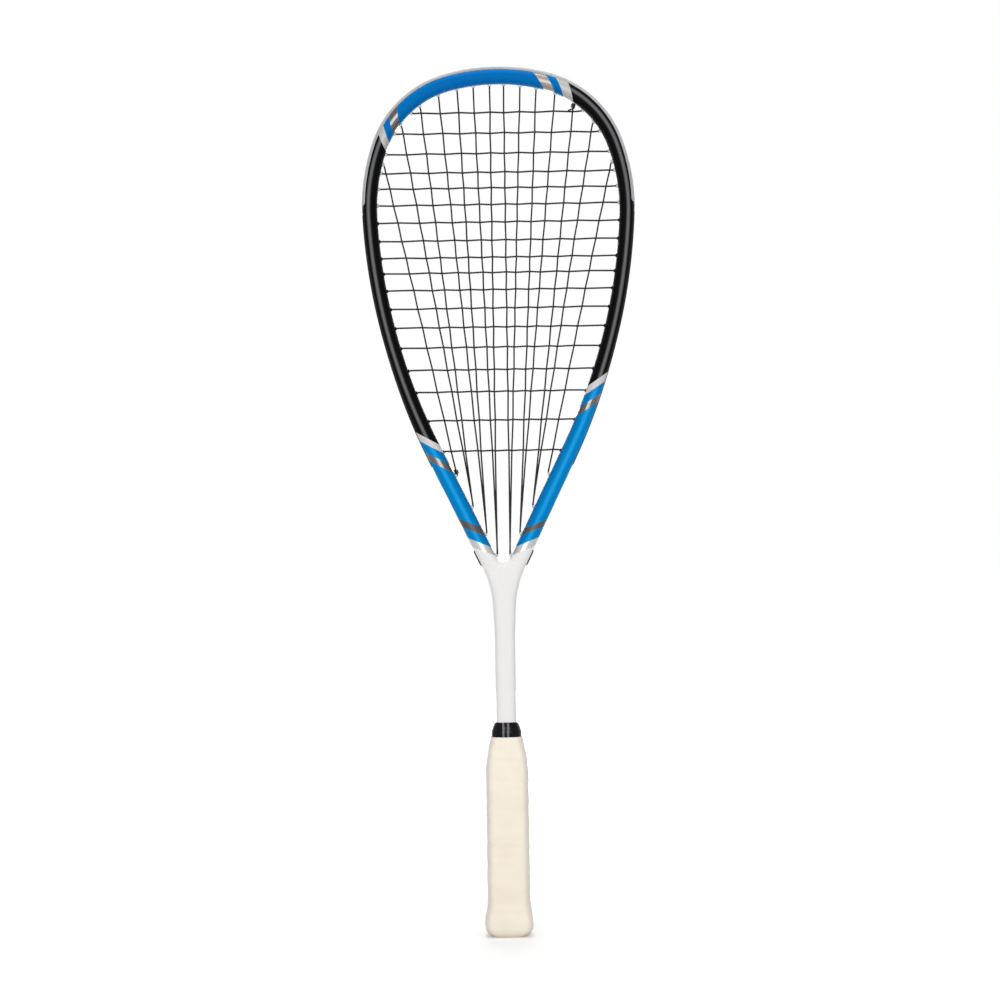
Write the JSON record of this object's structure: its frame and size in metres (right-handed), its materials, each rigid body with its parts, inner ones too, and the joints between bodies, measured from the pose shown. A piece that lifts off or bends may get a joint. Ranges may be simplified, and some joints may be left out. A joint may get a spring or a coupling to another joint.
{
  "type": "squash racket",
  "caption": "Teardrop-head squash racket with a hollow frame, woven strings in grommets, a head bumper and a wrapped handle with a flared butt.",
  "frame": {"origin": "middle of the butt end", "axes": "+Z along the shaft towards the head, +X across the strings, the front of the racket faces -Y"},
  "size_m": [0.2154, 0.0346, 0.6855],
  "materials": {
    "frame": "lacquered carbon fibre composite",
    "bumper": "silver-grey moulded nylon",
    "grommet": "translucent moulded nylon",
    "strip": "black moulded nylon",
    "string": "multifilament nylon",
    "foam": "moulded polyurethane foam",
    "cap": "moulded plastic",
    "tack": "plated",
    "grip": "soft synthetic wrap",
    "collar": "glossy tape"
  },
  "bodies": {
    "root": {"frame": "frame", "head_bumper": "bumper", "head_strip": "grommet", "left_strip": "strip", "right_strip": "strip", "left_outer_grommet": "grommet", "left_upper_grommet": "grommet", "left_lower_grommet": "grommet", "left_fork_grommet": "grommet", "right_outer_grommet": "grommet", "right_upper_grommet": "grommet", "right_lower_grommet": "grommet", "right_fork_grommet": "grommet", "string": "string", "start_knot": "string", "end_knot": "string", "handle_core": "foam", "butt_cap": "cap", "butt_tacks": "tack", "grip": "grip", "collar": "collar"}
  },
  "joints": []
}
